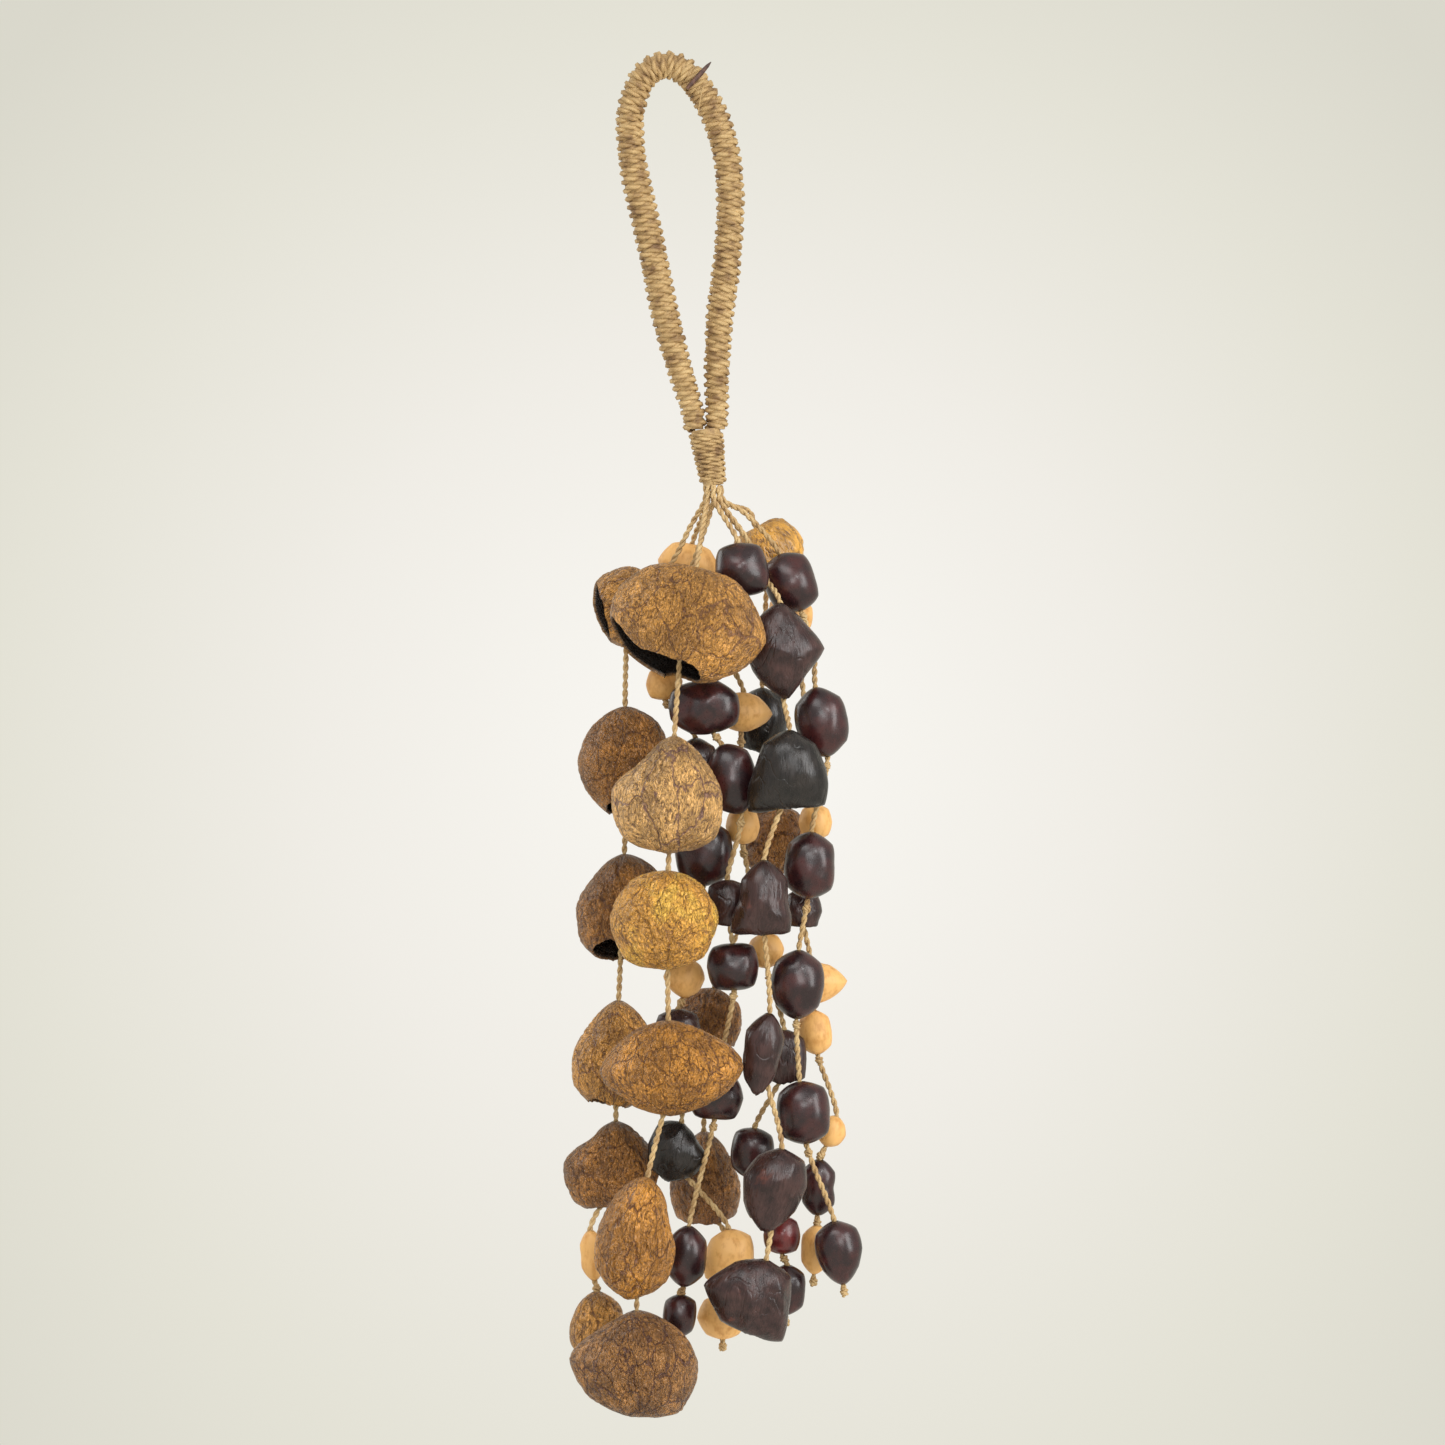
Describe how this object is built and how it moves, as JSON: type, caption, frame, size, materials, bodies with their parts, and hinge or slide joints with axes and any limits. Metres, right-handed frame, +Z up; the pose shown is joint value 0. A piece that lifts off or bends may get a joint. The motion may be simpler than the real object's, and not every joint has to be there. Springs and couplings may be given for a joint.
{
  "type": "nutshell rattle",
  "caption": "Hand rattle: a straw-wrapped hand loop with limp cords below, strung with hollow nutshells, pods, seeds and small nuts.",
  "frame": {"origin": "inside of the top of the hand loop, where the rattle hangs on a peg or a finger", "axes": "+Z up along the hanging rattle, +X to the right seen from the front, -Y the front side that the picture shows"},
  "size_m": [0.1121, 0.0802, 0.5097],
  "materials": {
    "straw_twine": "matt twisted straw",
    "brown_nutshell": "semi-gloss veined shell",
    "pale_nut": "satin",
    "purple_seed": "gloss",
    "black_pod": "satin",
    "peg_wood": "matt"
  },
  "bodies": {
    "root": {"handle_loop": "straw_twine", "collar_binding": "straw_twine", "cord_left_back": "straw_twine", "cord_left_front": "straw_twine", "cord_centre": "straw_twine", "cord_right_front": "straw_twine", "cord_right": "straw_twine", "cord_right_back": "straw_twine", "cord_back_right": "straw_twine", "cord_back_centre": "straw_twine", "cord_inner_left": "straw_twine", "wrap_peg": "peg_wood", "nutshell_left_back_1": "brown_nutshell", "nutshell_left_back_2": "brown_nutshell", "nutshell_left_back_3": "brown_nutshell", "nutshell_left_back_4": "brown_nutshell", "nutshell_left_back_5": "brown_nutshell", "nut_left_back": "pale_nut", "nutshell_left_back_6": "brown_nutshell", "nutshell_left_front_1": "brown_nutshell", "nutshell_left_front_2": "brown_nutshell", "nutshell_left_front_3": "brown_nutshell", "nutshell_left_front_4": "brown_nutshell", "nutshell_left_front_5": "brown_nutshell", "nutshell_left_front_6": "brown_nutshell", "seed_centre_1": "purple_seed", "seed_centre_2": "purple_seed", "seed_centre_3": "purple_seed", "pod_centre": "black_pod", "seed_centre_4": "purple_seed", "seed_centre_5": "purple_seed", "seed_centre_6": "purple_seed", "seed_centre_7": "purple_seed", "pod_right_1": "black_pod", "pod_right_2": "black_pod", "pod_right_3": "black_pod", "pod_right_4": "black_pod", "pod_right_5": "black_pod", "pod_right_6": "black_pod", "seed_right_1": "purple_seed", "seed_right_2": "purple_seed", "seed_right_3": "purple_seed", "seed_right_4": "purple_seed", "seed_right_5": "purple_seed", "seed_right_6": "purple_seed", "nut_right_back_1": "pale_nut", "nut_right_back_2": "pale_nut", "pod_right_back": "black_pod", "nut_right_back_3": "pale_nut", "nut_right_back_4": "pale_nut", "nut_right_back_5": "pale_nut", "seed_right_back": "purple_seed", "nut_right_back_6": "pale_nut", "nutshell_back_1": "brown_nutshell", "pod_back": "black_pod", "nutshell_back_2": "brown_nutshell", "nutshell_back_3": "brown_nutshell", "nutshell_back_4": "brown_nutshell", "nutshell_back_5": "brown_nutshell"}
  },
  "joints": []
}
